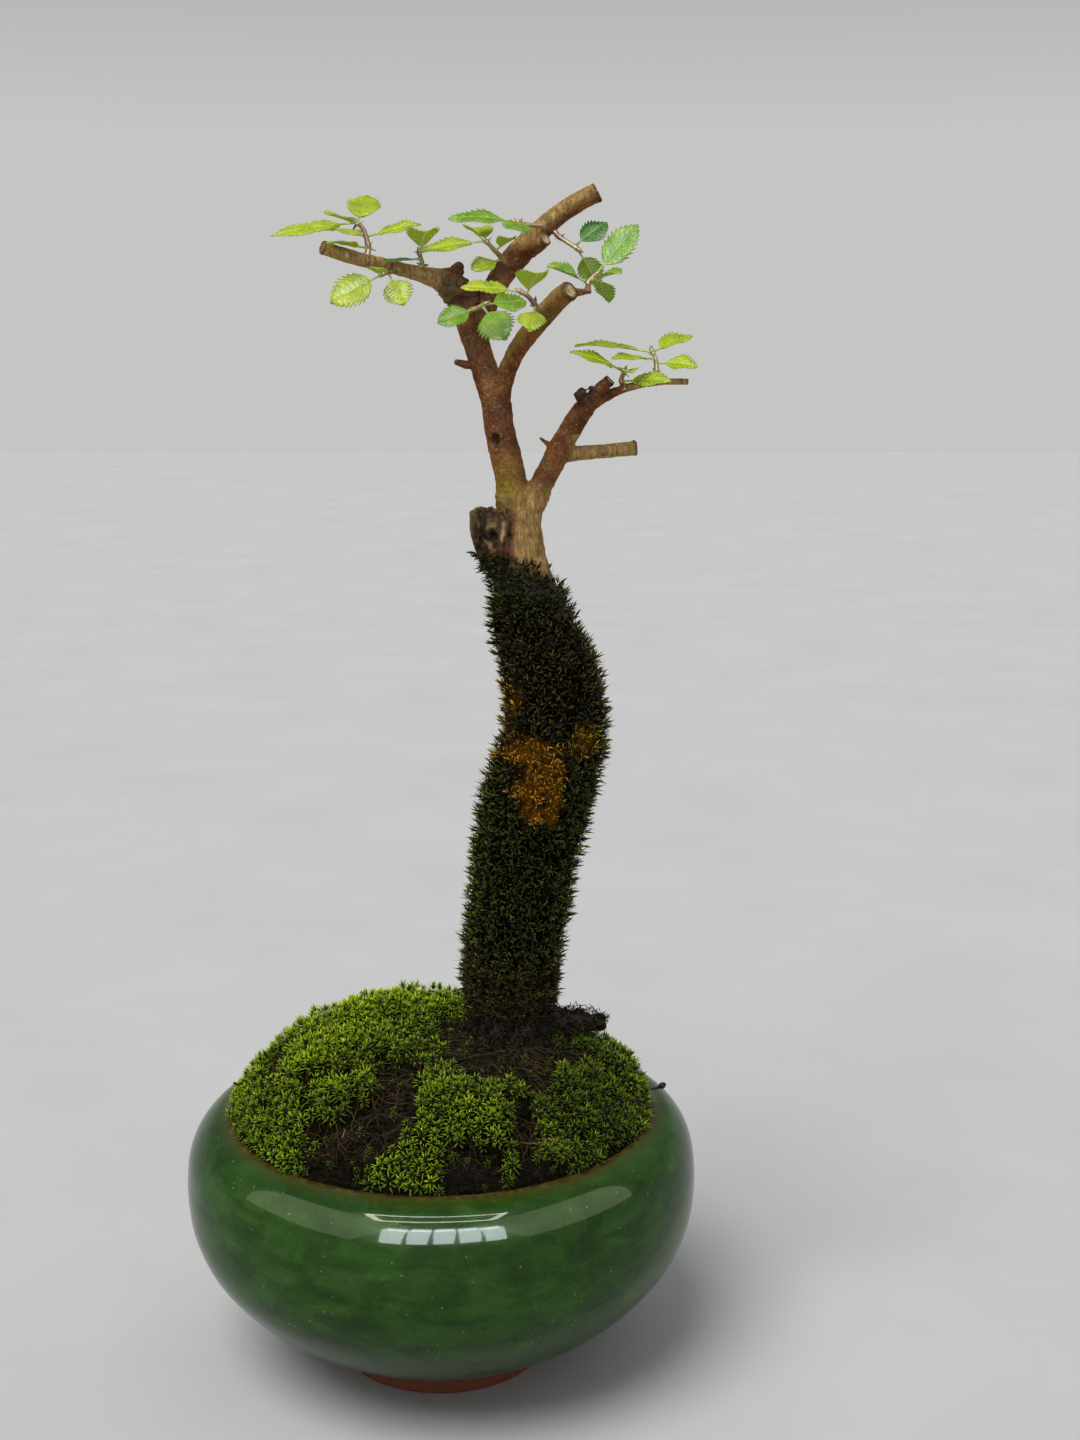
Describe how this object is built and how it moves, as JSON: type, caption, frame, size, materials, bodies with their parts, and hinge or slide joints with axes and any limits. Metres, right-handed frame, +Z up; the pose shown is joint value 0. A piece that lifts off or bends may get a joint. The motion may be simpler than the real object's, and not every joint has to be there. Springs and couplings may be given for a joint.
{
  "type": "bonsai in a glazed pot",
  "caption": "Small bonsai with a moss-covered S-curved trunk, sawn branches and young leaves, in soil domed with moss cushions, in a round green glazed pot",
  "frame": {"origin": "on the ground plane under the middle of the pot's foot, which is also the middle of the pot's widest ring", "axes": "+Z up along the pot's turning axis, -Y towards the viewer of the source picture, +X to the right, where the trunk leaves the soil"},
  "size_m": [0.1, 0.1, 0.2274],
  "materials": {
    "glaze": "gloss",
    "screen": "matte",
    "wire": "satin",
    "soil": "matte",
    "moss": "matte",
    "trunk_moss": "matte",
    "bark": "matte",
    "stem": "satin",
    "leaf": "satin"
  },
  "bodies": {
    "root": {"apex_high_shoot": "stem", "apex_high_shoot_leaf_1": "leaf", "apex_high_shoot_leaf_2": "leaf", "apex_low_shoot": "stem", "apex_low_shoot_leaf_1": "leaf", "apex_low_shoot_leaf_2": "leaf", "apex_low_shoot_leaf_3": "leaf", "apex_low_shoot_leaf_4": "leaf", "apex_right_shoot": "stem", "apex_right_shoot_leaf_1": "leaf", "apex_right_shoot_leaf_2": "leaf", "drainage_mesh": "screen", "fork_shoot": "stem", "fork_shoot_leaf_1": "leaf", "fork_shoot_leaf_2": "leaf", "fork_shoot_leaf_3": "leaf", "left_inner_shoot": "stem", "left_inner_shoot_leaf_1": "leaf", "left_inner_shoot_leaf_2": "leaf", "left_tip_shoot": "stem", "left_tip_shoot_leaf_1": "leaf", "left_tip_shoot_leaf_2": "leaf", "left_tip_shoot_leaf_3": "leaf", "left_tip_shoot_leaf_4": "leaf", "left_tip_shoot_leaf_5": "leaf", "left_tip_shoot_leaf_6": "leaf", "left_under_shoot": "stem", "left_under_shoot_leaf_1": "leaf", "left_under_shoot_leaf_2": "leaf", "left_under_shoot_leaf_3": "leaf", "mesh_wire": "wire", "middle_shoot": "stem", "middle_shoot_leaf_1": "leaf", "middle_shoot_leaf_2": "leaf", "middle_shoot_leaf_3": "leaf", "moss_back": "moss", "moss_back_left": "moss", "moss_back_right": "moss", "moss_front": "moss", "moss_front_right": "moss", "moss_left": "moss", "moss_right": "moss", "pot": "glaze", "right_inner_shoot": "stem", "right_inner_shoot_leaf_1": "leaf", "right_inner_shoot_leaf_2": "leaf", "right_inner_shoot_leaf_3": "leaf", "right_tip_shoot": "stem", "right_tip_shoot_leaf_1": "leaf", "right_tip_shoot_leaf_2": "leaf", "right_tip_shoot_leaf_3": "leaf", "right_tip_shoot_leaf_4": "leaf", "soil": "soil", "spur_shoot": "stem", "spur_shoot_leaf_1": "leaf", "spur_shoot_leaf_2": "leaf", "spur_shoot_leaf_3": "leaf", "spur_shoot_leaf_4": "leaf", "trunk_and_branches": "bark", "trunk_moss": "trunk_moss"}
  },
  "joints": []
}
